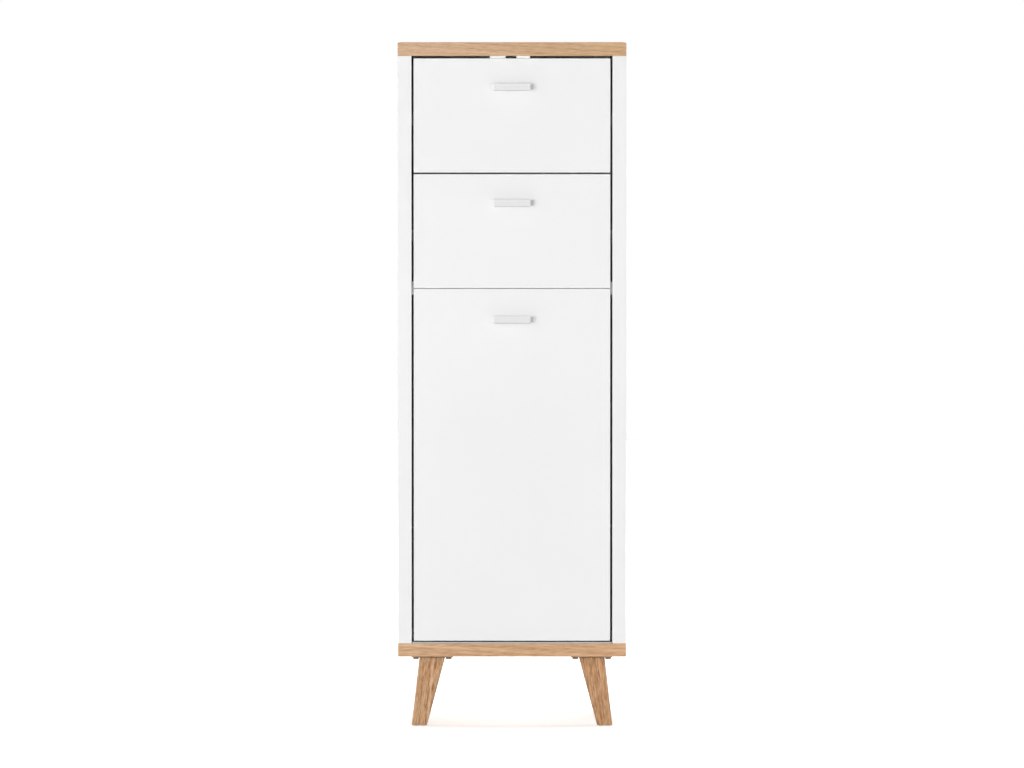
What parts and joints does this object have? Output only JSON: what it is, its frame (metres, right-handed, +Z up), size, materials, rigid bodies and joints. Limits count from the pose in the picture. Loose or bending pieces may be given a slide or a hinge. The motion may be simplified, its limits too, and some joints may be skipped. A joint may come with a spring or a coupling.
{
  "type": "bathroom side cabinet",
  "caption": "Tall narrow bathroom side cabinet: white drawers over a tilt-out laundry flap with a bag, oak top and bottom boards, splayed oak legs, bow handles.",
  "frame": {"origin": "on the floor, under the middle of the box that the cabinet fills with its handles", "axes": "+X to the right seen from the front, +Y to the back, +Z up"},
  "size_m": [0.38, 0.352, 1.14],
  "materials": {
    "white_board": "white faced board, satin",
    "drawer_board": "white faced board, matt",
    "thin_panel": "fibreboard, white lacquer on the inner face, raw on the outer face",
    "oak_board": "oak grain finish, matt",
    "oak_leg": "solid oak, oiled",
    "beech": "raw beech",
    "polished_metal": "polished",
    "zinc_steel": "zinc plated",
    "dark_steel": "dark plated",
    "black_steel": "blackened",
    "cast_zinc": "as cast",
    "frame_steel": "white powder coat",
    "white_plastic": "moulded, matt",
    "seal_plastic": "extruded, light grey, matt",
    "grey_plastic": "moulded, matt",
    "clear_rubber": "soft, translucent",
    "bag_fabric": "plain cotton canvas"
  },
  "bodies": {
    "cabinet": {"top_board": "oak_board", "bottom_board": "oak_board", "left_side_panel": "white_board", "right_side_panel": "white_board", "fixed_shelf": "white_board", "back_panel": "thin_panel", "cam_bolts": "zinc_steel", "cam_locks": "cast_zinc", "wooden_dowels": "beech", "left_front_leg": "oak_leg", "right_front_leg": "oak_leg", "left_rear_leg": "oak_leg", "right_rear_leg": "oak_leg", "leg_plates": "dark_steel", "leg_plate_screws": "dark_steel", "leg_bolts": "zinc_steel", "leg_glides": "white_plastic", "front_stop_blocks": "white_plastic", "flap_seal_strip": "seal_plastic", "top_drawer_cabinet_rails": "zinc_steel", "middle_drawer_cabinet_rails": "zinc_steel", "cabinet_rail_screws": "zinc_steel", "flap_pivot_bushes": "grey_plastic", "flap_stop_pins": "zinc_steel", "flap_bumpers": "clear_rubber"},
    "top_drawer": {"top_drawer_front": "white_board", "top_drawer_left_side": "drawer_board", "top_drawer_right_side": "drawer_board", "top_drawer_back": "drawer_board", "top_drawer_bottom": "thin_panel", "top_drawer_handle": "polished_metal", "top_drawer_handle_screws": "zinc_steel", "top_drawer_rails": "zinc_steel", "top_drawer_rail_screws": "zinc_steel", "top_drawer_cam_bolts": "zinc_steel", "top_drawer_cam_locks": "cast_zinc", "top_drawer_back_screws": "zinc_steel"},
    "top_ball_cages": {"top_drawer_ball_cages": "zinc_steel"},
    "middle_drawer": {"middle_drawer_front": "white_board", "middle_drawer_left_side": "drawer_board", "middle_drawer_right_side": "drawer_board", "middle_drawer_back": "drawer_board", "middle_drawer_bottom": "thin_panel", "middle_drawer_handle": "polished_metal", "middle_drawer_handle_screws": "zinc_steel", "middle_drawer_rails": "zinc_steel", "middle_drawer_rail_screws": "zinc_steel", "middle_drawer_cam_bolts": "zinc_steel", "middle_drawer_cam_locks": "cast_zinc", "middle_drawer_back_screws": "zinc_steel"},
    "middle_ball_cages": {"middle_drawer_ball_cages": "zinc_steel"},
    "flap": {"laundry_flap": "white_board", "flap_handle": "polished_metal", "flap_handle_screws": "zinc_steel", "flap_pivot_pins": "black_steel", "left_flap_stay": "zinc_steel", "right_flap_stay": "zinc_steel", "flap_fitting_screws": "zinc_steel", "laundry_frame": "frame_steel", "laundry_bag": "bag_fabric"}
  },
  "joints": [
    {"name": "top_drawer_slide", "type": "slide", "parent": "cabinet", "child": "top_drawer", "axis": [0, -1, 0], "range_m": [0, 0.2]},
    {"name": "top_ball_cages_slide", "type": "slide", "parent": "cabinet", "child": "top_ball_cages", "axis": [0, -1, 0], "range_m": [0, 0.1]},
    {"name": "middle_drawer_slide", "type": "slide", "parent": "cabinet", "child": "middle_drawer", "axis": [0, -1, 0], "range_m": [0, 0.2]},
    {"name": "middle_ball_cages_slide", "type": "slide", "parent": "cabinet", "child": "middle_ball_cages", "axis": [0, -1, 0], "range_m": [0, 0.1]},
    {"name": "flap_tilt", "type": "hinge", "parent": "cabinet", "child": "flap", "pos_m": [0, -0.146, 0.1565], "axis": [1, 0, 0], "range_deg": [0, 28]}
  ],
  "couplings": [
    {"joint": "top_ball_cages_slide", "follows": "top_drawer_slide", "ratio": 0.5},
    {"joint": "middle_ball_cages_slide", "follows": "middle_drawer_slide", "ratio": 0.5}
  ]
}
